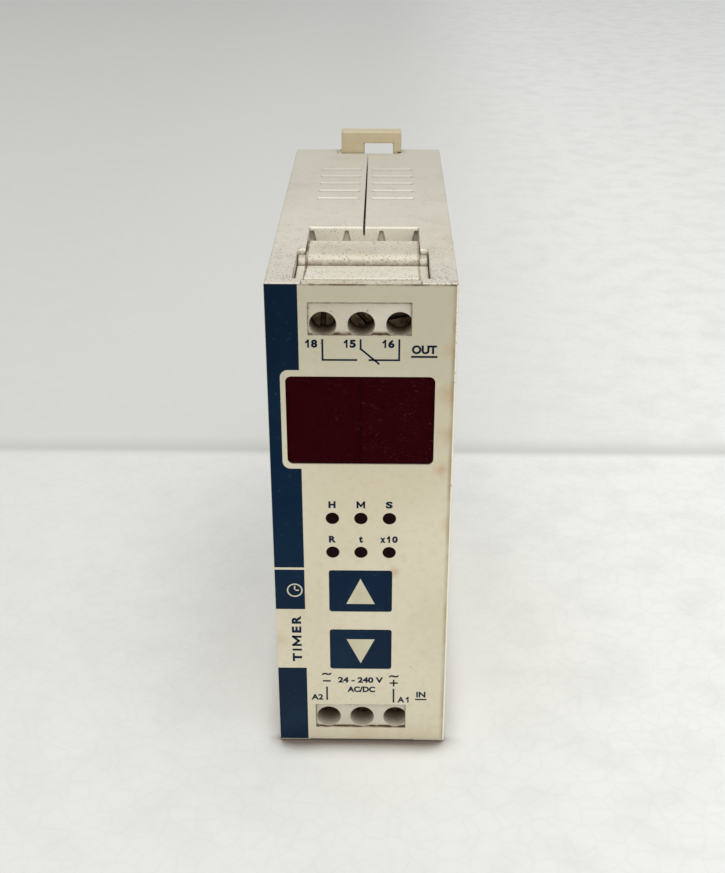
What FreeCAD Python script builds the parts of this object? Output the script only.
import FreeCAD, Part
import math
import operator
import os
from types import SimpleNamespace

import Sketcher

# DIN rail timer, in millimetres. X runs to the right, Y from the front to the rear, Z up.
# The origin is the middle of the seat that rests on the DIN rail.

DIMENSIONS = {
    # Housing
    "housing_width": 25.4,
    "housing_height": 75.0,
    "front_depth": 65.0,
    "rear_depth": 5.3,
    "wall": 1.8,
    "gap": 0.05,
    "slide_gap": 0.1,
    "wide_gap": 0.2,
    "plate_thickness": 2.1,
    "label_thickness": 0.25,
    "plate_gap": 0.05,
    "tongue_width": 15.9,
    "tongue_drop": 0.3,
    "recess_depth": 24.3,
    "ear_width": 18.2,
    "ear_start": 2.2,
    "ear_end": 14.2,
    "vent_first": 38.6,
    "vent_pitch": 4.3,
    "vent_width": 1.0,
    "vent_inner": 1.0,
    "vent_outer": 7.5,
    "parting_gap_front": 0.2,
    "parting_gap_rear": 0.05,
    "funnel_wall": 1.5,
    "funnel_drop": 4.0,
    "arch_foot": 1.25,
    "arch_head": 0.25,
    "arch_drop": 0.6,
    "arch_depth": 0.9,
    "boss_side": 4.0,
    "boss_setback": 3.8,
    "front_boss_depth": 31.0,
    "rear_boss_depth": 61.0,
    "peg_radius": 1.1,
    "peg_length": 3.0,
    # Rail seat and clip
    "rail_width": 35.0,
    "rail_flange": 1.3,
    "rail_play": 0.7,
    "hook_cover": 1.7,
    "seat_relief": 0.4,
    "clip_width": 10.5,
    "clip_flange_width": 12.4,
    "clip_front": 2.25,
    "clip_back": 5.2,
    "clip_flange_thickness": 1.05,
    "clip_flange_low": 19.0,
    "clip_flange_high": 33.0,
    "clip_rise": 3.7,
    "clip_cover": 3.2,
    "clip_nose_front": 1.2,
    "clip_nose_height": 2.7,
    "clip_travel": 3.5,
    "clip_bar": 2.0,
    "tab_shift": 0.6,
    "slot_left": -0.6,
    "slot_right": 4.4,
    "slot_low": 20.0,
    "spring_radius": 1.15,
    "spring_wire": 0.4,
    "spring_turns": 8.0,
    "spring_length": 10.7,
    "stop_height": 1.6,
    # Front panel
    "label_left": 12.65,
    "label_right": 12.4,
    "label_top": 37.45,
    "label_bottom": 36.95,
    "window_left": 7.0,
    "window_right": 6.6,
    "top_window_low": 30.4,
    "top_window_high": 34.9,
    "bottom_window_low": 30.4,
    "bottom_window_high": 34.65,
    "display_left": 10.2,
    "display_right": 9.9,
    "display_low": 11.15,
    "display_high": 24.4,
    "display_corner": 0.8,
    "display_pane": 1.3,
    "lamp_x": -0.1,
    "lamp_pitch": 4.03,
    "upper_lamp_z": 2.5,
    "lower_lamp_z": -3.1,
    "lamp_radius": 0.95,
    "lamp_body_radius": 1.45,
    "lamp_body_length": 2.6,
    "key_x": -0.17,
    "key_width": 9.0,
    "key_height": 7.0,
    "key_corner": 0.4,
    "key_thickness": 0.4,
    "key_gap": 0.08,
    "key_travel": 0.35,
    "up_key_z": -9.72,
    "down_key_z": -20.05,
    "plate_key_margin": 0.3,
    "plunger_radius": 1.7,
    "switch_side": 6.0,
    "switch_height": 3.4,
    "switch_floor": 1.3,
    # Front board
    "board_thickness": 1.6,
    "front_board_depth": 7.1,
    "front_board_width": 20.0,
    "front_board_height": 50.4,
    "post_radius": 1.25,
    "post_x": 8.2,
    "upper_post_z": 6.6,
    "lower_post_z": -22.8,
    "digits_width": 18.4,
    "digits_height": 12.0,
    "digits_thickness": 4.7,
    "digits_frame": 0.6,
    "digits_recess": 0.3,
    "chip_width": 7.5,
    "chip_height": 17.9,
    "chip_thickness": 2.3,
    "chip_standoff": 0.2,
    "chip_z": 12.0,
    "lead_pitch": 1.27,
    "lead_width": 0.45,
    "lead_reach": 1.4,
    "lead_thickness": 0.25,
    "header_z": -10.0,
    "header_pitch": 2.54,
    "header_width": 2.5,
    "pin_radius": 0.32,
    # Terminals
    "terminal_pitch": 5.08,
    "block_width": 15.24,
    "block_face": 0.4,
    "block_low": 26.0,
    "block_window_low": 27.25,
    "block_window_high": 35.85,
    "band_end": 11.6,
    "band_drop": 1.5,
    "block_rear": 24.2,
    "screw_height_top": 31.7,
    "screw_height_bottom": 32.9,
    "screw_hole_radius": 1.8,
    "shank_hole_radius": 1.4,
    "head_depth": 3.7,
    "head_height": 1.65,
    "head_radius": 1.65,
    "shank_radius": 1.3,
    "shank_length": 12.95,
    "driver_slot_width": 0.6,
    "driver_slot_depth": 0.9,
    "thread_radius": 1.35,
    "clamp_width": 4.2,
    "clamp_depth": 17.0,
    "clamp_length": 6.5,
    "clamp_front_wall": 1.0,
    "clamp_rear_wall": 0.9,
    "clamp_side_wall": 0.8,
    "clamp_above": 1.7,
    "clamp_below": 2.3,
    "clamp_travel": 2.5,
    "clamp_clearance": 0.1,
    "deck_thickness": 0.7,
    "wire_radius": 1.25,
    "wire_depth": 21.1,
    "bar_width": 2.3,
    "bar_thickness": 0.8,
    "bar_depth": 18.7,
    "bar_foot": 4.1,
    "solder_pin_width": 0.8,
    "solder_pin_end": 29.4,
    "guide_front": 11.85,
    "guide_rear": 18.3,
    "guide_rise": -0.25,
    "guide_round": 1.6,
    "guide_lip": 0.35,
    "guide_peg_radius": 0.7,
    "guide_peg_length": 1.5,
    "guide_peg_depth": 13.0,
    "guide_ear_drop": 0.5,
    "ear_height": 1.9,
    # Boards behind the front
    "terminal_board_depth": 27.25,
    "terminal_board_width": 21.5,
    "terminal_board_height": 70.4,
    "rib_depth": 0.9,
    "rib_height": 62.0,
    "main_board_x": 9.45,
    "main_board_front": 29.5,
    "main_board_rear": 62.6,
    "main_board_height": 62.4,
    "stud_radius": 1.6,
    "front_stud_depth": 33.0,
    "rear_stud_depth": 60.0,
    "stud_z": 28.5,
    "link_pitch": 2.54,
    "link_depth": 1.2,
    "link_reach": 4.2,
    "link_block_start": 1.0,
    "link_block_length": 2.4,
    # Relay
    "relay_front": 33.6,
    "relay_length": 28.6,
    "relay_low": -29.6,
    "relay_width": 12.8,
    "relay_height": 16.4,
    "relay_base_thickness": 1.4,
    "relay_wall": 0.7,
    "coil_inset": 7.4,
    "coil_radius": 4.7,
    "coil_length": 9.0,
    "bobbin_radius": 5.2,
    "bobbin_flange": 0.8,
    "bobbin_tube": 2.2,
    "core_radius": 1.6,
    "core_head_radius": 3.4,
    "core_head_thickness": 0.7,
    "yoke_thickness": 1.0,
    "yoke_gap": 0.8,
    "armature_thickness": 0.9,
    "armature_gap": 0.45,
    "armature_width": 8.0,
    "blade_thickness": 0.3,
    "blade_width": 3.0,
    "blade_length": 8.0,
    "contact_radius": 0.9,
    "contact_thickness": 0.5,
    "contact_gap": 0.36,
    "blade_offset": 2.4,
    "armature_inset": 4.2,
    "contact_post": 0.8,
    # Supply parts
    "core_front": 46.0,
    "core_low": 13.0,
    "core_long": 13.0,
    "core_tall": 6.0,
    "core_high": 12.5,
    "core_leg": 2.4,
    "core_centre": 3.6,
    "winding_overhang": 2.6,
    "electrolytic_radius": 4.0,
    "electrolytic_length": 11.5,
    "electrolytic_depth": 38.0,
    "electrolytic_z": 22.0,
    "film_front": 35.5,
    "film_length": 6.0,
    "film_low": 2.0,
    "film_height": 12.0,
    "film_rise": 10.5,
    "varistor_radius": 4.2,
    "varistor_thickness": 3.2,
    "varistor_depth": 56.0,
    "varistor_z": 1.6,
    "varistor_rise": 0.5,
    "lead_radius": 0.35,
    "lead_gap": 2.5,
    "diode_radius": 1.3,
    "diode_length": 4.6,
    "diode_pitch": 3.4,
    "diode_depth": 44.5,
    "diode_z": -7.0,
    "resistor_radius": 1.9,
    "resistor_length": 9.0,
    "resistor_depth": 38.5,
    "resistor_z": -10.0,
}
LEFT_SCREW_TURN = 5.0
MIDDLE_SCREW_TURN = -40.0
RIGHT_SCREW_TURN = 80.0
VENT_COUNT = 5
LEADS_PER_SIDE = 12
HEADER_PINS = 6
LINK_PINS = 7
DIODES = 4

doc = FreeCAD.newDocument("din_rail_timer")
sheet = doc.addObject("Spreadsheet::Sheet", "Dims")


class Size:
    """A length that knows its value and the sheet formula that it comes from."""

    def __init__(self, value, formula):
        self.value = value
        self.formula = formula

    def __add__(self, other):
        return combined(self, other, "+", operator.add)

    def __radd__(self, other):
        return combined(other, self, "+", operator.add)

    def __sub__(self, other):
        return combined(self, other, "-", operator.sub)

    def __rsub__(self, other):
        return combined(other, self, "-", operator.sub)

    def __mul__(self, other):
        return combined(self, other, "*", operator.mul)

    def __rmul__(self, other):
        return combined(other, self, "*", operator.mul)

    def __truediv__(self, other):
        return combined(self, other, "/", operator.truediv)

    def __neg__(self):
        return combined(0, self, "-", operator.sub)


def as_size(number):
    if isinstance(number, Size):
        return number
    return Size(float(number), f"({float(number):.6f})")


def combined(left, right, sign, work):
    left = as_size(left)
    right = as_size(right)
    return Size(work(left.value, right.value), f"({left.formula} {sign} {right.formula})")


size = SimpleNamespace()
for row, (alias, number) in enumerate(DIMENSIONS.items(), start=1):
    sheet.set(f"A{row}", alias)
    sheet.set(f"B{row}", str(number))
    sheet.setAlias(f"B{row}", alias)
    setattr(size, alias, Size(number, f"Dims.{alias}"))
doc.recompute()

BEYOND = 1.0
half_width = size.housing_width / 2
half_height = size.housing_height / 2
front = -size.front_depth
plate_face = front + size.label_thickness
plate_back = plate_face + size.plate_thickness
rear = size.rear_depth
inner = half_width - size.wall
ceiling = half_height - size.wall
rail_low = -(size.rail_width / 2) - size.rail_play / 2
rail_high = size.rail_width / 2 + size.rail_play
clip_low = size.rail_width / 2 - size.clip_cover
nodes = {}


def depth(amount):
    """The Y of a place so far behind the front face."""
    return amount - size.front_depth


def ordered(pair):
    low, high = as_size(pair[0]), as_size(pair[1])
    return (low, high) if low.value <= high.value else (high, low)


def node(name, feature):
    """Keeps a finished feature as the sub-part of that name."""
    feature.Label = name
    nodes[name] = feature
    return feature


def bind(feature, prop, amount):
    feature.setExpression(prop, as_size(amount).formula)


def box(x, y, z):
    """A box between two planes on each axis."""
    solid = doc.addObject("Part::Box", "Box")
    for axis, prop, pair in zip("xyz", ("Length", "Width", "Height"), (x, y, z)):
        low, high = ordered(pair)
        bind(solid, prop, high - low)
        bind(solid, f"Placement.Base.{axis}", low)
    return solid


TURNS = {
    "x": FreeCAD.Rotation(FreeCAD.Vector(0, 1, 0), 90),
    "y": FreeCAD.Rotation(FreeCAD.Vector(1, 0, 0), -90),
    "z": FreeCAD.Rotation(),
}


def place_round(solid, axis, span, across):
    low, high = ordered(span)
    solid.Placement = FreeCAD.Placement(FreeCAD.Vector(), TURNS[axis])
    bind(solid, "Height", high - low)
    bind(solid, f"Placement.Base.{axis}", low)
    for other, place in zip([a for a in "xyz" if a != axis], across):
        bind(solid, f"Placement.Base.{other}", place)


def cylinder(axis, span, across, radius):
    """A cylinder along an axis; across holds its other two coordinates."""
    solid = doc.addObject("Part::Cylinder", "Cylinder")
    place_round(solid, axis, span, across)
    bind(solid, "Radius", radius)
    return solid


def fuse(*shapes):
    result = doc.addObject("Part::MultiFuse", "Fuse")
    result.Shapes = list(shapes)
    return result


def cut(base, *tools):
    result = doc.addObject("Part::Cut", "Cut")
    result.Base = base
    result.Tool = tools[0] if len(tools) == 1 else fuse(*tools)
    return result


def group(*shapes):
    """Several separate solids in one sub-part."""
    result = doc.addObject("Part::Compound", "Group")
    result.Links = list(shapes)
    return result


def mirrored(source, normal):
    result = doc.addObject("Part::Mirroring", "Mirror")
    result.Source = source
    result.Base = FreeCAD.Vector()
    result.Normal = normal
    return result


def hold(sketch, line, point, place):
    """Ties one end of a sketch line to its formulas."""
    for kind, amount in zip(("DistanceX", "DistanceY"), place):
        rule = Sketcher.Constraint(kind, -1, 1, line, point, amount.value)
        number = sketch.addConstraint(rule)
        sketch.setExpression(f"Constraints[{number}]", amount.formula)


def draw_polygon(sketch, corners):
    corners = [(as_size(a), as_size(b)) for a, b in corners]
    points = [FreeCAD.Vector(a.value, b.value, 0) for a, b in corners]
    first = sketch.GeometryCount
    count = len(points)
    for i in range(count):
        sketch.addGeometry(Part.LineSegment(points[i], points[(i + 1) % count]), False)
    for i in range(count):
        following = first + (i + 1) % count
        sketch.addConstraint(Sketcher.Constraint("Coincident", first + i, 2, following, 1))
    for i, place in enumerate(corners):
        hold(sketch, first + i, 1, place)


def draw_circle(sketch, centre, radius):
    centre = [as_size(c) for c in centre]
    middle = FreeCAD.Vector(centre[0].value, centre[1].value, 0)
    up = FreeCAD.Vector(0, 0, 1)
    circle = sketch.addGeometry(Part.Circle(middle, up, radius.value), False)
    hold(sketch, circle, 3, centre)
    number = sketch.addConstraint(Sketcher.Constraint("Radius", circle, radius.value))
    sketch.setExpression(f"Constraints[{number}]", radius.formula)


def draw_rounded(sketch, x, z, radius):
    """A rectangle with round corners: four bound lines joined by four arcs."""
    (x0, x1), (z0, z1) = ordered(x), ordered(z)
    lines = [
        ((x0 + radius, z0), (x1 - radius, z0)),
        ((x1, z0 + radius), (x1, z1 - radius)),
        ((x1 - radius, z1), (x0 + radius, z1)),
        ((x0, z1 - radius), (x0, z0 + radius)),
    ]
    centres = [
        (x1 - radius, z0 + radius),
        (x1 - radius, z1 - radius),
        (x0 + radius, z1 - radius),
        (x0 + radius, z0 + radius),
    ]
    first = sketch.GeometryCount
    up = FreeCAD.Vector(0, 0, 1)
    for start, end in lines:
        ends = [FreeCAD.Vector(a.value, b.value, 0) for a, b in (start, end)]
        sketch.addGeometry(Part.LineSegment(*ends), False)
    for i, (a, b) in enumerate(centres):
        circle = Part.Circle(FreeCAD.Vector(a.value, b.value, 0), up, radius.value)
        quarter = (i - 1) * math.pi / 2
        sketch.addGeometry(Part.ArcOfCircle(circle, quarter, quarter + math.pi / 2), False)
    for i, (start, end) in enumerate(lines):
        hold(sketch, first + i, 1, start)
        hold(sketch, first + i, 2, end)
        arc = first + 4 + i
        following = first + (i + 1) % 4
        sketch.addConstraint(Sketcher.Constraint("Coincident", first + i, 2, arc, 1))
        sketch.addConstraint(Sketcher.Constraint("Coincident", arc, 2, following, 1))
    for i in range(4):
        number = sketch.addConstraint(Sketcher.Constraint("Radius", first + 4 + i, radius.value))
        sketch.setExpression(f"Constraints[{number}]", radius.formula)


def new_sketch(body, role, offset):
    sketch = body.newObject("Sketcher::SketchObject", "Sketch")
    plane = next(f for f in body.Origin.OriginFeatures if f.Role == role)
    sketch.AttachmentSupport = [(plane, "")]
    sketch.MapMode = "FlatFace"
    bind(sketch, "AttachmentOffset.Base.z", offset)
    return sketch


def padded(body, sketch, length, symmetric=False):
    pad = body.newObject("PartDesign::Pad", "Pad")
    pad.Profile = sketch
    bind(pad, "Length", length)
    if symmetric:
        pad.SideType = "Symmetric"
    return pad


def new_body():
    body = doc.addObject("PartDesign::Body", "Body")
    doc.recompute()
    return body


def panel(y, draw):
    """A flat piece parallel to the front; draw fills the sketch of its outline and holes."""
    low, high = ordered(y)
    body = new_body()
    sketch = new_sketch(body, "XZ_Plane", -high)
    draw(sketch)
    padded(body, sketch, high - low)
    return body


def side_profile(corners, width):
    """A piece of constant width about the middle, from its outline seen from the side."""
    body = new_body()
    sketch = new_sketch(body, "YZ_Plane", 0)
    draw_polygon(sketch, corners)
    padded(body, sketch, width, symmetric=True)
    return body


def front_prism(corners, y):
    return panel(y, lambda sketch: draw_polygon(sketch, corners))


def poles():
    return [-size.terminal_pitch, as_size(0), as_size(size.terminal_pitch)]


# --- Housing ---------------------------------------------------------------------------------


def shell_cavities():
    across = (-inner, BEYOND)
    upper_wall = rail_high + size.wall
    lower_wall = rail_low - size.wall
    clip_floor = size.clip_nose_front - size.slide_gap - size.wall
    return [
        box(across, (plate_face - BEYOND, -size.wall), (-ceiling, ceiling)),
        box(across, (-size.wall - BEYOND, clip_floor), (upper_wall, ceiling)),
        box(across, (-size.wall - BEYOND, rear - size.wall), (-ceiling, lower_wall)),
    ]


def rail_recess():
    """The rail's room. The seat is set back under the hook and the clip, so it bears in between."""
    across = (-half_width - BEYOND, BEYOND)
    hook = rail_low + size.hook_cover + size.rail_play / 2
    return [
        box(across, (0, size.rail_flange), (rail_low, rail_high)),
        box(across, (size.rail_flange, rear + BEYOND), (hook, rail_high)),
        box(across, (-size.seat_relief, BEYOND), (rail_low, hook + size.seat_relief)),
        box(across, (-size.seat_relief, BEYOND), (clip_low - size.seat_relief, rail_high)),
    ]


def clip_channel():
    """The clip's guide: the strap's channel, the flange's groove, and room for the raised nose."""
    play = size.slide_gap
    floor = size.clip_front - play
    strap = (-size.clip_width / 2 - play, BEYOND)
    flange = (-size.clip_flange_width / 2 - play, BEYOND)
    start = rail_high - BEYOND
    flange_high = size.clip_flange_high + size.clip_travel + play
    nose_high = clip_low + size.clip_nose_height + size.clip_travel + play
    groove_back = size.clip_front + size.clip_flange_thickness + play
    return [
        box(strap, (floor, rear + BEYOND), (start, half_height + BEYOND)),
        box(strap, (size.clip_nose_front - play, rear + BEYOND), (start, nose_high)),
        box(flange, (floor, groove_back), (size.clip_flange_low, flange_high)),
    ]


def terminal_recess(side):
    """The opening at the front of the top (side 1) or the bottom (side -1) wall."""
    z = (side * (ceiling - BEYOND), side * (half_height + BEYOND))
    tongue = size.tongue_width / 2
    ears = size.ear_width / 2
    return [
        box((-tongue, BEYOND), (plate_face - BEYOND, depth(size.recess_depth)), z),
        box((-ears, BEYOND), (depth(size.ear_start), depth(size.ear_end)), z),
    ]


def vents(side):
    z = (side * (ceiling - BEYOND), side * (half_height + BEYOND))
    for i in range(VENT_COUNT):
        start = depth(size.vent_first + i * size.vent_pitch)
        yield box((-size.vent_outer, -size.vent_inner), (start, start + size.vent_width), z)


def parting_gap(side):
    """The thin wedge by which the two halves stand apart along the outside."""
    body = new_body()
    low = ordered((side * (half_height - size.funnel_drop), side * (half_height + BEYOND)))
    sketch = new_sketch(body, "XY_Plane", low[0])
    start = plate_face - BEYOND
    corners = [(BEYOND, start), (-size.parting_gap_front, start)]
    corners += [(-size.parting_gap_rear, rear + BEYOND), (BEYOND, rear + BEYOND)]
    draw_polygon(sketch, corners)
    padded(body, sketch, low[1] - low[0])
    return body


def funnel_wall(side):
    """The rear wall of the recess: three flat tongues with narrow arched pockets between them."""
    start = depth(size.recess_depth)
    z = (side * (half_height - size.funnel_drop), side * (ceiling + BEYOND / 2))
    wall = box((-inner, 0), (start, start + size.funnel_wall), z)
    foot = side * (half_height - size.funnel_drop - BEYOND)
    head = side * (half_height - size.arch_drop)
    between = size.terminal_pitch / 2
    tools = []
    for x in (-between, -between - size.terminal_pitch):
        corners = [(x - size.arch_foot, foot), (x + size.arch_foot, foot)]
        corners += [(x + size.arch_head, head), (x - size.arch_head, head)]
        tools.append(front_prism(corners, (start - BEYOND, start + size.arch_depth)))
    return wall, tools


def half_shell():
    """The left half; the right one is its mirror image."""
    solid = box((-half_width, 0), (plate_face, rear), (-half_height, half_height))
    tools = shell_cavities() + rail_recess() + clip_channel()
    for side in (1, -1):
        tools += terminal_recess(side) + list(vents(side)) + [parting_gap(side)]
    hollow = cut(solid, *tools)
    inside = []
    arches = []
    for side in (1, -1):
        wall, openings = funnel_wall(side)
        inside.append(wall)
        arches += openings
        boss_low = side * (half_height - size.boss_setback - size.boss_side / 2)
        for place in (size.front_boss_depth, size.rear_boss_depth):
            middle = depth(place)
            y = (middle - size.boss_side / 2, middle + size.boss_side / 2)
            z = (boss_low, side * (ceiling + BEYOND / 2))
            inside.append(box((-inner - BEYOND / 2, 0), y, z))
        for place in (size.front_stud_depth, size.rear_stud_depth):
            across = (depth(place), side * size.stud_z)
            span = (-inner - BEYOND / 2, -size.main_board_x)
            inside.append(cylinder("x", span, across, size.stud_radius))
    board = depth(size.terminal_board_depth)
    ribs = (-size.rib_height / 2, size.rib_height / 2)
    for edge, way in ((board, -1), (board + size.board_thickness, 1)):
        start = edge + way * size.gap
        across = (-inner - BEYOND / 2, -inner + size.rib_depth)
        inside.append(box(across, (start, start + way * size.rib_depth), ribs))
    return cut(fuse(hollow, *inside), *arches)


def peg_places():
    for side in (1, -1):
        for place in (size.front_boss_depth, size.rear_boss_depth):
            yield depth(place), side * (half_height - size.boss_setback)


def shells():
    left = half_shell()
    right = mirrored(half_shell(), FreeCAD.Vector(1, 0, 0))
    ends = (-size.peg_length, size.peg_length)
    pegs = [cylinder("x", ends, p, size.peg_radius) for p in peg_places()]
    reach = size.peg_length + size.wide_gap
    bore = size.peg_radius + size.gap
    holes = [cylinder("x", (-BEYOND, reach), p, bore) for p in peg_places()]
    middle = (size.slot_left + size.slot_right) / 2
    stop_low = size.slot_low + size.spring_length + size.wide_gap
    stop = box(
        (middle - size.spring_radius, middle + size.spring_radius),
        (size.clip_front - size.wall, size.clip_back - size.wide_gap),
        (stop_low, stop_low + size.stop_height),
    )
    node("left_shell", fuse(left, *pegs))
    node("right_shell", fuse(cut(right, *holes), stop))


# --- Front panel -----------------------------------------------------------------------------


def lamp_places():
    for z in (size.upper_lamp_z, size.lower_lamp_z):
        for i in (-1, 0, 1):
            yield size.lamp_x + i * size.lamp_pitch, z


def key_places():
    return {"up_key": size.up_key_z, "down_key": size.down_key_z}


def key_frame(z, margin):
    half = size.key_width / 2 + margin
    tall = size.key_height / 2 + margin
    return (size.key_x - half, size.key_x + half), (z - tall, z + tall)


def draw_front_plate(sketch):
    edge = inner - size.plate_gap
    top = ceiling - size.plate_gap
    tongue = size.tongue_width / 2 - size.plate_gap
    tip = half_height - size.tongue_drop
    corners = [(-edge, -top), (-tongue, -top), (-tongue, -tip), (tongue, -tip)]
    corners += [(tongue, -top), (edge, -top), (edge, top), (tongue, top)]
    corners += [(tongue, tip), (-tongue, tip), (-tongue, top), (-edge, top)]
    draw_polygon(sketch, corners)
    block = size.block_width / 2 + size.gap
    for side in (1, -1):
        low = side * (size.block_window_low - size.gap)
        high = side * (size.block_window_high + size.gap)
        draw_polygon(sketch, [(-block, low), (block, low), (block, high), (-block, high)])
    gap = size.gap
    x = (-size.display_left - gap, size.display_right + gap)
    draw_rounded(sketch, x, (size.display_low - gap, size.display_high + gap), size.display_corner)
    for x, z in lamp_places():
        draw_circle(sketch, (x, z), size.lamp_radius + gap)
    for z in key_places().values():
        x, tall = key_frame(z, size.plate_key_margin)
        draw_rounded(sketch, x, tall, size.key_corner)


def draw_label(sketch):
    corners = [(-size.label_left, -size.label_bottom), (size.label_right, -size.label_bottom)]
    corners += [(size.label_right, size.label_top), (-size.label_left, size.label_top)]
    draw_polygon(sketch, corners)
    left, right = -size.window_left, size.window_right
    low, high = size.top_window_low, size.top_window_high
    draw_polygon(sketch, [(left, low), (right, low), (right, high), (left, high)])
    low, high = -size.bottom_window_high, -size.bottom_window_low
    draw_polygon(sketch, [(left, low), (right, low), (right, high), (left, high)])
    x = (-size.display_left, size.display_right)
    draw_rounded(sketch, x, (size.display_low, size.display_high), size.display_corner)
    for x, z in lamp_places():
        draw_circle(sketch, (x, z), size.lamp_radius)
    for z in key_places().values():
        x, tall = key_frame(z, size.key_gap)
        draw_rounded(sketch, x, tall, size.key_corner)


def front_panel():
    plate = panel((plate_face, plate_back), draw_front_plate)
    board_face = depth(size.front_board_depth)
    posts = []
    for x in (-size.post_x, size.post_x):
        for z in (size.upper_post_z, size.lower_post_z):
            posts.append(cylinder("y", (plate_back - BEYOND, board_face), (x, z), size.post_radius))
    node("front_plate", fuse(plate, *posts))
    node("front_label", panel((front, plate_face), draw_label))
    x = (-size.display_left + size.gap, size.display_right - size.gap)
    z = (size.display_low + size.gap, size.display_high - size.gap)
    pane = (plate_face + size.gap, plate_face + size.gap + size.display_pane)
    node("display_window", panel(pane, lambda s: draw_rounded(s, x, z, size.display_corner)))


def lamps():
    board_face = depth(size.front_board_depth)
    shoulder = board_face - size.lamp_body_length
    tip = front + size.slide_gap
    lenses = []
    for place in lamp_places():
        lens = cylinder("y", (tip, board_face), place, size.lamp_radius - size.gap)
        lenses.append(fuse(lens, cylinder("y", (shoulder, board_face), place, size.lamp_body_radius)))
    node("status_leds", group(*lenses))


def keys():
    board_face = depth(size.front_board_depth)
    half = size.switch_side / 2
    for name, z in key_places().items():
        x, tall = key_frame(z, 0)
        pad_back = front + size.key_thickness
        cap = panel((front, pad_back), lambda s: draw_rounded(s, x, tall, size.key_corner))
        node(name, cap)
        bottom = board_face - size.switch_floor - size.key_travel - size.slide_gap
        centre = (size.key_x, z)
        node(f"{name}_plunger", cylinder("y", (pad_back, bottom), centre, size.plunger_radius))
        shell = box(
            (size.key_x - half, size.key_x + half),
            (board_face - size.switch_height, board_face),
            (z - half, z + half),
        )
        bore_end = board_face - size.switch_floor
        bore = size.plunger_radius + size.gap
        hole = cylinder("y", (front, bore_end), centre, bore)
        node(f"{name}_switch", cut(shell, hole))


def front_board():
    face = depth(size.front_board_depth)
    back = face + size.board_thickness
    half = size.front_board_width / 2
    tall = size.front_board_height / 2
    node("front_board", box((-half, half), (face, back), (-tall, tall)))
    centre = (size.display_right - size.display_left) / 2
    across = size.digits_width / 2
    left = digit_module(face, (centre - across, centre - size.slide_gap))
    right = digit_module(face, (centre + size.slide_gap, centre + across))
    node("digit_display", group(left, right))
    node("microcontroller", microcontroller(back))
    front_link(back)


def digit_module(board_face, x):
    """One digit's module, with a shallow recess in its face."""
    middle = (size.display_low + size.display_high) / 2
    tall = size.digits_height / 2
    face = board_face - size.digits_thickness
    frame = size.digits_frame
    module = box(x, (face, board_face), (middle - tall, middle + tall))
    recess = box(
        (x[0] + frame, x[1] - frame),
        (face - BEYOND, face + size.digits_recess),
        (middle - tall + frame, middle + tall - frame),
    )
    return cut(module, recess)


def microcontroller(back):
    """A small-outline chip on the rear of the front board, with its row of leads each side."""
    half = size.chip_width / 2
    tall = size.chip_height / 2
    low = back + size.chip_standoff
    body = box((-half, half), (low, low + size.chip_thickness), (size.chip_z - tall, size.chip_z + tall))
    leads = []
    for i in range(LEADS_PER_SIDE):
        z = size.chip_z + (i - (LEADS_PER_SIDE - 1) / 2) * size.lead_pitch
        z_span = (z - size.lead_width / 2, z + size.lead_width / 2)
        knee = low + size.chip_thickness / 2
        for side in (1, -1):
            outside = side * (half + size.lead_reach)
            bend = side * (half + size.lead_reach / 2)
            leads.append(box((side * half, bend), (knee, knee + size.lead_thickness), z_span))
            thick = side * size.lead_thickness
            leads.append(box((bend - thick, bend), (back, knee + size.lead_thickness), z_span))
            leads.append(box((bend - thick, outside), (back, back + size.lead_thickness), z_span))
    return fuse(body, *leads)


def front_link(back):
    """The pin strip that joins the front board to the terminal board behind it."""
    far = depth(size.terminal_board_depth)
    half = size.header_width / 2
    places = []
    for i in range(HEADER_PINS):
        shift = (i - (HEADER_PINS - 1) / 2) * size.header_pitch
        places.append((shift, size.header_z))
    pins = [cylinder("y", (back, far), place, size.pin_radius) for place in places]
    end = HEADER_PINS / 2 * size.header_pitch
    bore = size.pin_radius + size.gap
    z = (size.header_z - half, size.header_z + half)
    for name, start in (("front_header", back), ("front_header_socket", far - size.header_width)):
        strip = box((-end, end), (start, start + size.header_width), z)
        holes = [cylinder("y", (back - BEYOND, far + BEYOND), place, bore) for place in places]
        node(name, cut(strip, *holes))
    node("front_header_pins", group(*pins))


# --- Terminals -------------------------------------------------------------------------------


def terminal_block(side, screw_z):
    """Three poles in one moulding; screws come from the front and wires from above or below."""
    face = depth(size.block_face)
    shoulder = plate_back + size.gap
    back = depth(size.block_rear)
    deck = screw_z + size.clamp_above + size.clamp_clearance + size.deck_thickness
    end = depth(size.band_end)
    tip = half_height - size.gap
    corners = [
        (face, size.block_window_low),
        (face, size.block_window_high),
        (shoulder, size.block_window_high),
        (shoulder, tip),
        (end, tip - size.band_drop),
        (end, deck),
        (back, deck),
        (back, size.block_low),
        (shoulder, size.block_low),
        (shoulder, size.block_window_low),
    ]
    body = side_profile([(y, side * z) for y, z in corners], size.block_width)
    ear_x = size.ear_width / 2 - size.slide_gap
    ear_top = tip - size.band_drop
    ears = box(
        (-ear_x, ear_x),
        (shoulder, end),
        (side * (ear_top - size.ear_height), side * ear_top),
    )
    return cut(fuse(body, ears), *terminal_openings(side, screw_z, deck))


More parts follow.
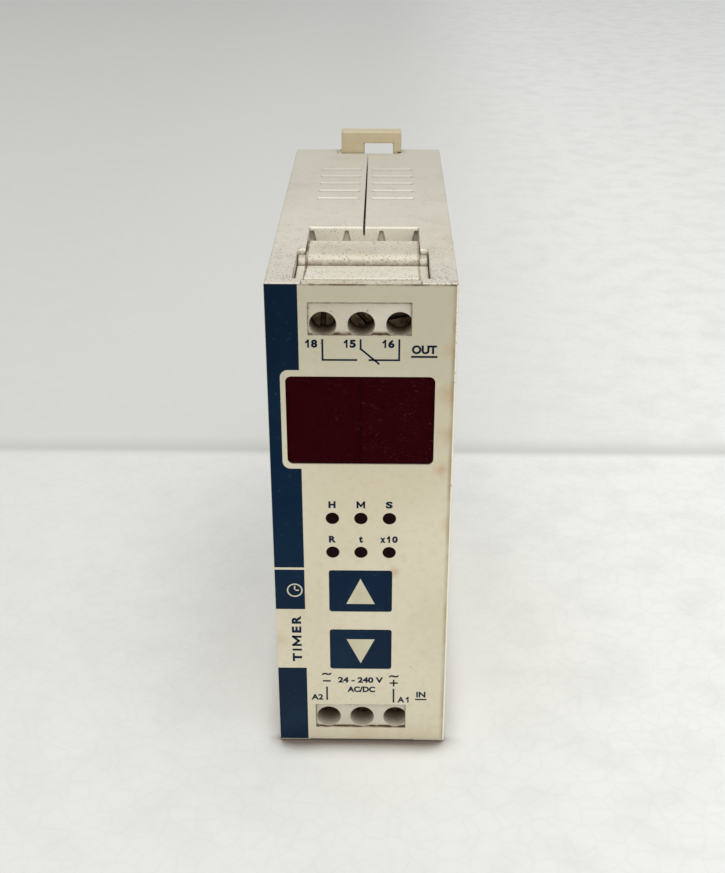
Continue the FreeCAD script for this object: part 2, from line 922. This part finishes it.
def terminal_openings(side, screw_z, deck):
    play = size.clamp_clearance
    seat = depth(size.head_depth + size.head_height)
    cage_front = depth(size.clamp_depth) - size.clamp_travel - play
    cage_back = depth(size.clamp_depth) + size.clamp_length + play
    cage_low = side * (screw_z - size.clamp_below - play)
    cage_high = side * (screw_z + size.clamp_above + play)
    bar_front = depth(size.bar_depth)
    foot = screw_z - size.bar_foot
    tools = []
    for x in poles():
        half = size.clamp_width / 2 + play
        tools.append(box((x - half, x + half), (cage_front, cage_back), (cage_low, cage_high)))
        across = (x, side * screw_z)
        tools.append(cylinder("y", (front, seat), across, size.screw_hole_radius))
        tools.append(cylinder("y", (seat - BEYOND, cage_front + BEYOND), across, size.shank_hole_radius))
        wire = (x, depth(size.wire_depth))
        tools.append(cylinder("z", (cage_high, side * (deck + BEYOND)), wire, size.wire_radius))
        half = size.bar_width / 2 + size.gap
        slot = (bar_front - size.gap, bar_front + size.bar_thickness + size.gap)
        tools.append(box((x - half, x + half), slot, (side * (foot - size.gap), cage_low)))
        half = size.solder_pin_width / 2 + size.gap
        pin = (side * (foot - size.gap), side * (foot + size.bar_thickness + size.gap))
        tools.append(box((x - half, x + half), (bar_front, depth(size.block_rear) + BEYOND), pin))
    places = (-size.terminal_pitch / 2, size.terminal_pitch / 2)
    bottom = deck - size.guide_peg_length - size.gap
    for x in places:
        span = (side * bottom, side * (deck + BEYOND))
        across = (x, depth(size.guide_peg_depth))
        tools.append(cylinder("z", span, across, size.guide_peg_radius + size.gap))
    return tools


def contact_bars(side, screw_z):
    """A flat bar inside each clamp, with a solder pin that runs back to the terminal board."""
    bars = []
    foot = side * (screw_z - size.bar_foot)
    top = side * (screw_z + size.clamp_above - size.gap)
    start = depth(size.bar_depth)
    for x in poles():
        half = size.bar_width / 2
        upright = box((x - half, x + half), (start, start + size.bar_thickness), (foot, top))
        half = size.solder_pin_width / 2
        z = (foot, foot + side * size.bar_thickness)
        pin = box((x - half, x + half), (start, depth(size.solder_pin_end)), z)
        bars.append(fuse(upright, pin))
    return group(*bars)


def terminal_screw(x, z, turn):
    """Drawn at the origin along Y, then turned and set in its hole."""
    head = cylinder("y", (0, size.head_height), (0, 0), size.head_radius)
    end = size.head_height + size.shank_length
    shank = cylinder("y", (0, end), (0, 0), size.shank_radius)
    half = size.driver_slot_width / 2
    across = size.head_radius + BEYOND
    slot = box((-half, half), (-BEYOND, size.driver_slot_depth), (-across, across))
    screw = cut(fuse(head, shank), slot)
    screw.Placement = FreeCAD.Placement(
        FreeCAD.Vector(), FreeCAD.Rotation(FreeCAD.Vector(0, 1, 0), turn)
    )
    bind(screw, "Placement.Base.x", x)
    bind(screw, "Placement.Base.y", depth(size.head_depth))
    bind(screw, "Placement.Base.z", z)
    return screw


def clamp(side, x, screw_z):
    """The rising clamp: a square ring whose front wall is threaded on the screw."""
    start = depth(size.clamp_depth)
    end = start + size.clamp_length
    half = size.clamp_width / 2
    z = (side * (screw_z - size.clamp_below), side * (screw_z + size.clamp_above))
    ring = box((x - half, x + half), (start, end), z)
    half = half - size.clamp_side_wall
    window = box(
        (x - half, x + half),
        (start + size.clamp_front_wall, end - size.clamp_rear_wall),
        (side * (screw_z - size.clamp_below - BEYOND), side * (screw_z + size.clamp_above + BEYOND)),
    )
    inside = start + size.clamp_front_wall + BEYOND
    thread = cylinder("y", (start - BEYOND, inside), (x, side * screw_z), size.thread_radius)
    return cut(ring, window, thread)


def wire_guide(side, deck):
    """The rounded bar behind the sloping band, over the clamps."""
    start = depth(size.guide_front)
    end = depth(size.guide_rear)
    top = half_height + size.guide_rise
    low = deck + size.gap
    body = new_body()
    sketch = new_sketch(body, "YZ_Plane", 0)
    lip = size.guide_lip
    corners = [(start, low), (start, top), (end - lip * 2, top), (end - lip * 2, top + lip / 2)]
    corners += [(end, top + lip / 2), (end, low)]
    draw_polygon(sketch, [(y, side * z) for y, z in corners])
    pad = padded(body, sketch, size.tongue_width - size.wide_gap, symmetric=True)
    doc.recompute()
    nose = body.newObject("PartDesign::Fillet", "Fillet")
    nose.Base = (pad, [edge_at(pad.Shape, 0, start.value, side * top.value)])
    bind(nose, "Radius", size.guide_round)
    doc.recompute()
    body.Tip = nose
    ear_x = size.ear_width / 2 - size.slide_gap
    ear_end = depth(size.ear_end) - size.slide_gap
    ear_top = top - size.guide_ear_drop
    slope = size.guide_round / 2
    ear = side_profile(
        [
            (start + size.gap, side * low),
            (start + size.gap, side * (ear_top - slope)),
            (start + size.gap + slope, side * ear_top),
            (ear_end, side * ear_top),
            (ear_end, side * low),
        ],
        ear_x * 2,
    )
    pegs = []
    for x in (-size.terminal_pitch / 2, size.terminal_pitch / 2):
        span = (side * (deck - size.guide_peg_length), side * (low + BEYOND / 2))
        pegs.append(cylinder("z", span, (x, depth(size.guide_peg_depth)), size.guide_peg_radius))
    return fuse(body, ear, *pegs)


def edge_at(shape, x, y, z):
    """The name of the edge whose middle lies nearest to a point."""
    goal = FreeCAD.Vector(x, y, z)
    gaps = [(edge.CenterOfMass.distanceToPoint(goal), i) for i, edge in enumerate(shape.Edges, 1)]
    return f"Edge{min(gaps)[1]}"


def terminals():
    turns = (LEFT_SCREW_TURN, MIDDLE_SCREW_TURN, RIGHT_SCREW_TURN)
    ends = (("top", 1, size.screw_height_top), ("bottom", -1, size.screw_height_bottom))
    for end, side, screw_z in ends:
        node(f"{end}_terminal_block", terminal_block(side, screw_z))
        node(f"{end}_contact_bars", contact_bars(side, screw_z))
        deck = screw_z + size.clamp_above + size.clamp_clearance + size.deck_thickness
        node(f"{end}_wire_guide", wire_guide(side, deck))
        for number, (x, turn) in enumerate(zip(poles(), turns), start=1):
            screw = terminal_screw(x, side * screw_z, turn)
            node(f"{end}_terminal_screw_{number}", screw)
            node(f"{end}_clamp_{number}", clamp(side, x, screw_z))


# --- Boards ----------------------------------------------------------------------------------


def boards():
    face = depth(size.terminal_board_depth)
    back = face + size.board_thickness
    half = size.terminal_board_width / 2
    tall = size.terminal_board_height / 2
    plate = box((-half, half), (face, back), (-tall, tall))
    holes = []
    for side, screw_z in ((1, size.screw_height_top), (-1, size.screw_height_bottom)):
        foot = screw_z - size.bar_foot
        z = (side * (foot - size.gap), side * (foot + size.bar_thickness + size.gap))
        for x in poles():
            half = size.solder_pin_width / 2 + size.gap
            holes.append(box((x - half, x + half), (face - BEYOND, back + BEYOND), z))
    node("terminal_board", cut(plate, *holes))
    tall = size.main_board_height / 2
    x = (-size.main_board_x, -size.main_board_x + size.board_thickness)
    y = (depth(size.main_board_front), depth(size.main_board_rear))
    node("main_board", box(x, y, (-tall, tall)))
    board_link(back, x[1])


def board_link(back, top):
    """Right-angle pins from the terminal board to the main board, in a plastic strip."""
    radius = size.pin_radius
    centre = top + size.link_depth
    knee = back + size.link_reach
    pins = []
    holes = []
    for i in range(LINK_PINS):
        z = (i - (LINK_PINS - 1) / 2) * size.link_pitch
        z_span = (z - radius, z + radius)
        along = box((centre - radius, centre + radius), (back, knee), z_span)
        down = box((top, centre + radius), (knee - radius * 2, knee), z_span)
        pins.append(fuse(along, down))
        room = radius + size.gap
        across = (centre - room, centre + room)
        holes.append(box(across, (back - BEYOND, knee + BEYOND), (z - room, z + room)))
    end = LINK_PINS / 2 * size.link_pitch
    start = back + size.link_block_start
    strip = box((top, centre + size.link_depth), (start, start + size.link_block_length), (-end, end))
    node("board_link", cut(strip, *holes))
    node("board_link_pins", group(*pins))


# --- Relay -----------------------------------------------------------------------------------


def relay():
    """A changeover relay on the main board; X is its height, Y its length."""
    board = -size.main_board_x + size.board_thickness
    low = depth(size.relay_front)
    high = low + size.relay_length
    z = (size.relay_low, size.relay_low + size.relay_width)
    middle = (z[0] + z[1]) / 2
    base_top = board + size.relay_base_thickness
    top = board + size.relay_height
    node("relay_base", box((board, base_top), (low, high), z))
    cover = box((base_top, top), (low, high), z)
    wall = size.relay_wall
    room = box((base_top - BEYOND, top - wall), (low + wall, high - wall), (z[0] + wall, z[1] - wall))
    node("relay_cover", cut(cover, room))
    coil_y = low + size.coil_inset
    relay_coil(base_top, coil_y, middle)
    relay_switch(base_top, coil_y, middle)


def relay_heights(base_top):
    """The heights above the board at which the magnet's parts lie."""
    foot = base_top + size.yoke_thickness
    wound = foot + size.bobbin_flange
    flange = wound + size.coil_length
    core_top = flange + size.bobbin_flange + size.core_head_thickness
    return foot, wound, flange, core_top


def relay_coil(base_top, y, z):
    foot, wound, flange, core_top = relay_heights(base_top)
    across = (y, z)
    bobbin = fuse(
        cylinder("x", (foot, wound), across, size.bobbin_radius),
        cylinder("x", (wound, flange), across, size.bobbin_tube),
        cylinder("x", (flange, flange + size.bobbin_flange), across, size.bobbin_radius),
    )
    bore = cylinder("x", (foot - BEYOND, core_top), across, size.core_radius + size.gap)
    node("relay_bobbin", cut(bobbin, bore))
    winding = cylinder("x", (wound, flange), across, size.coil_radius)
    hole = cylinder("x", (wound - BEYOND, flange + BEYOND), across, size.bobbin_tube)
    node("relay_coil", cut(winding, hole))
    stem = cylinder("x", (foot, core_top), across, size.core_radius)
    head_low = core_top - size.core_head_thickness
    head = cylinder("x", (head_low, core_top), across, size.core_head_radius)
    node("relay_core", fuse(stem, head))


def yoke_edge(y):
    return y + size.bobbin_radius + size.yoke_gap


def relay_switch(base_top, y, z):
    """Yoke, armature with its blade, and the two fixed contacts."""
    foot, wound, flange, core_top = relay_heights(base_top)
    half = size.armature_width / 2
    tall = (z - half, z + half)
    leg = yoke_edge(y)
    thick = size.yoke_thickness
    pivot = core_top + size.armature_gap
    sole = box((base_top, foot), (y - size.core_radius * 2, leg + thick), tall)
    upright = box((base_top, pivot - size.slide_gap), (leg, leg + thick), tall)
    node("relay_yoke", fuse(sole, upright))
    arm_top = pivot + size.armature_thickness
    arm_end = leg + thick + size.blade_offset
    node("relay_armature", box((pivot, arm_top), (y - size.armature_inset, arm_end), tall))
    blade_low = pivot - size.blade_length
    blade = box((blade_low, arm_top), (arm_end, arm_end + size.blade_thickness), width_about(z))
    tip = blade_low + size.contact_radius
    start = arm_end - size.contact_thickness
    end = arm_end + size.blade_thickness + size.contact_thickness
    button = cylinder("y", (start, end), (tip, z), size.contact_radius)
    node("relay_contact_blade", fuse(blade, button))
    posts = []
    for face, way in ((start - size.slide_gap, -1), (end + size.contact_gap, 1)):
        pad = cylinder("y", (face, face + way * size.contact_thickness), (tip, z), size.contact_radius)
        back = face + way * size.contact_thickness
        post = box(
            (base_top, tip + size.contact_radius),
            (back, back + way * size.contact_post / 2),
            width_about(z),
        )
        posts.append(fuse(pad, post))
    node("relay_fixed_contacts", group(*posts))


def width_about(z):
    return z - size.blade_width / 2, z + size.blade_width / 2


# --- Supply parts ----------------------------------------------------------------------------


def supply():
    board = -size.main_board_x + size.board_thickness
    transformer(board)
    span = (board, board + size.electrolytic_length)
    across = (depth(size.electrolytic_depth), size.electrolytic_z)
    node("supply_capacitor", cylinder("x", span, across, size.electrolytic_radius))
    y = (depth(size.film_front), depth(size.film_front) + size.film_length)
    z = (size.film_low, size.film_low + size.film_height)
    node("filter_capacitor", box((board, board + size.film_rise), y, z))
    varistor(board)
    diodes = []
    for i in range(DIODES):
        y = depth(size.diode_depth + i * size.diode_pitch)
        diodes.append(lying_part(board, y, size.diode_z, size.diode_radius, size.diode_length))
    node("rectifier_diodes", group(*diodes))
    y = depth(size.resistor_depth)
    resistor = lying_part(board, y, size.resistor_z, size.resistor_radius, size.resistor_length)
    node("dropper_resistor", resistor)


def lying_part(board, y, z, radius, length):
    """A round part on its side along Z, with a wire leg bent down at each end."""
    centre = board + radius + size.gap
    body = cylinder("z", (z - length / 2, z + length / 2), (centre, y), radius)
    wire = size.lead_radius
    reach = length / 2 + BEYOND
    axle = cylinder("z", (z - reach, z + reach), (centre, y), wire)
    legs = [
        box((board, centre + wire), (y - wire, y + wire), (end - wire, end + wire))
        for end in (z - reach, z + reach)
    ]
    return fuse(body, axle, *legs)


def varistor(board):
    y = depth(size.varistor_depth)
    z = size.varistor_z
    centre = board + size.varistor_radius + size.varistor_rise
    half = size.varistor_thickness / 2
    disc = cylinder("y", (y - half, y + half), (centre, z), size.varistor_radius)
    legs = []
    for side in (1, -1):
        across = (y, z + side * size.lead_gap)
        legs.append(cylinder("x", (board, centre), across, size.lead_radius))
    node("varistor", fuse(disc, *legs))


def transformer(board):
    """A ferrite frame with a centre leg, wound about that leg."""
    low = depth(size.core_front)
    high = low + size.core_long
    z = (size.core_low, size.core_low + size.core_tall)
    x = (board, board + size.core_high)
    leg = size.core_leg
    centre = (low + high) / 2
    half = size.core_centre / 2
    windows = [
        box((x[0] + leg, x[1] - leg), (low + leg, centre - half), (z[0] - BEYOND, z[1] + BEYOND)),
        box((x[0] + leg, x[1] - leg), (centre + half, high - leg), (z[0] - BEYOND, z[1] + BEYOND)),
    ]
    node("transformer_core", cut(box(x, (low, high), z), *windows))
    room = size.gap
    span = (x[0] + leg + room, x[1] - leg - room)
    over = size.winding_overhang
    coil = box(span, (low + leg + room, high - leg - room), (z[0] - over, z[1] + over))
    heart = box(
        (x[0], x[1]), (centre - half - room, centre + half + room), (z[0] - room, z[1] + room)
    )
    node("transformer_winding", cut(coil, heart))


# --- Rail clip -------------------------------------------------------------------------------


def rail_clip():
    """A strap with a hooked foot and side flanges; its pull tab stands a little to the right."""
    half = size.clip_width / 2
    top = half_height + size.clip_rise
    waist = half_height + size.gap
    y = (size.clip_front, size.clip_back)
    strap = box((-half, half), y, (clip_low, waist))
    tab = box((size.tab_shift - half, size.tab_shift + half), y, (waist, top))
    nose_y = (size.clip_nose_front, size.clip_front + BEYOND / 2)
    nose = box((-half, half), nose_y, (clip_low, clip_low + size.clip_nose_height))
    half = size.clip_flange_width / 2
    flange_back = size.clip_front + size.clip_flange_thickness
    z = (size.clip_flange_low + size.gap, size.clip_flange_high)
    flange = box((-half, half), (size.clip_front, flange_back), z)
    slot = box(
        (size.slot_left, size.slot_right),
        (size.clip_front - BEYOND, size.clip_back + BEYOND),
        (size.slot_low, top - size.clip_bar),
    )
    node("din_clip", cut(fuse(strap, tab, nose, flange), slot))


def clip_spring():
    """A wire swept along a plain helix."""
    wire = size.spring_wire.value / 2
    radius = size.spring_radius.value - wire
    length = size.spring_length.value - wire * 2
    path = Part.makeHelix(length / size.spring_turns.value, length, radius)
    start = FreeCAD.Vector(radius, 0, 0)
    section = Part.Wire([Part.makeCircle(wire, start, FreeCAD.Vector(0, 1, 0))])
    coil = Part.Wire(path.Edges).makePipeShell([section], True, True)
    spring = doc.addObject("Part::Feature", "Spring")
    spring.Shape = coil
    middle = (size.slot_left + size.slot_right) / 2
    y = (size.clip_front + size.clip_back) / 2
    bind(spring, "Placement.Base.x", middle)
    bind(spring, "Placement.Base.y", y)
    bind(spring, "Placement.Base.z", size.slot_low + wire + size.gap)
    node("clip_spring", spring)


# --- Check and write -------------------------------------------------------------------------


def check():
    faults = [o.Name for o in doc.Objects if "Invalid" in o.State or "Error" in o.State]
    for name, feature in nodes.items():
        shape = feature.Shape
        if shape.isNull() or not shape.isValid() or not shape.Solids:
            faults.append(name)
        print(f"{name}: {len(shape.Solids)} solids, {shape.Volume:.1f} mm3")
    if faults:
        raise RuntimeError("these failed: " + ", ".join(faults))


def write():
    os.makedirs("parts", exist_ok=True)
    for old in os.listdir("parts"):
        os.remove(os.path.join("parts", old))
    for name, feature in nodes.items():
        feature.Shape.exportStep(f"parts/{name}.step")
    print(f"{len(nodes)} sub-parts")


shells()
front_panel()
lamps()
keys()
front_board()
terminals()
boards()
relay()
supply()
rail_clip()
clip_spring()
doc.recompute()
check()
write()
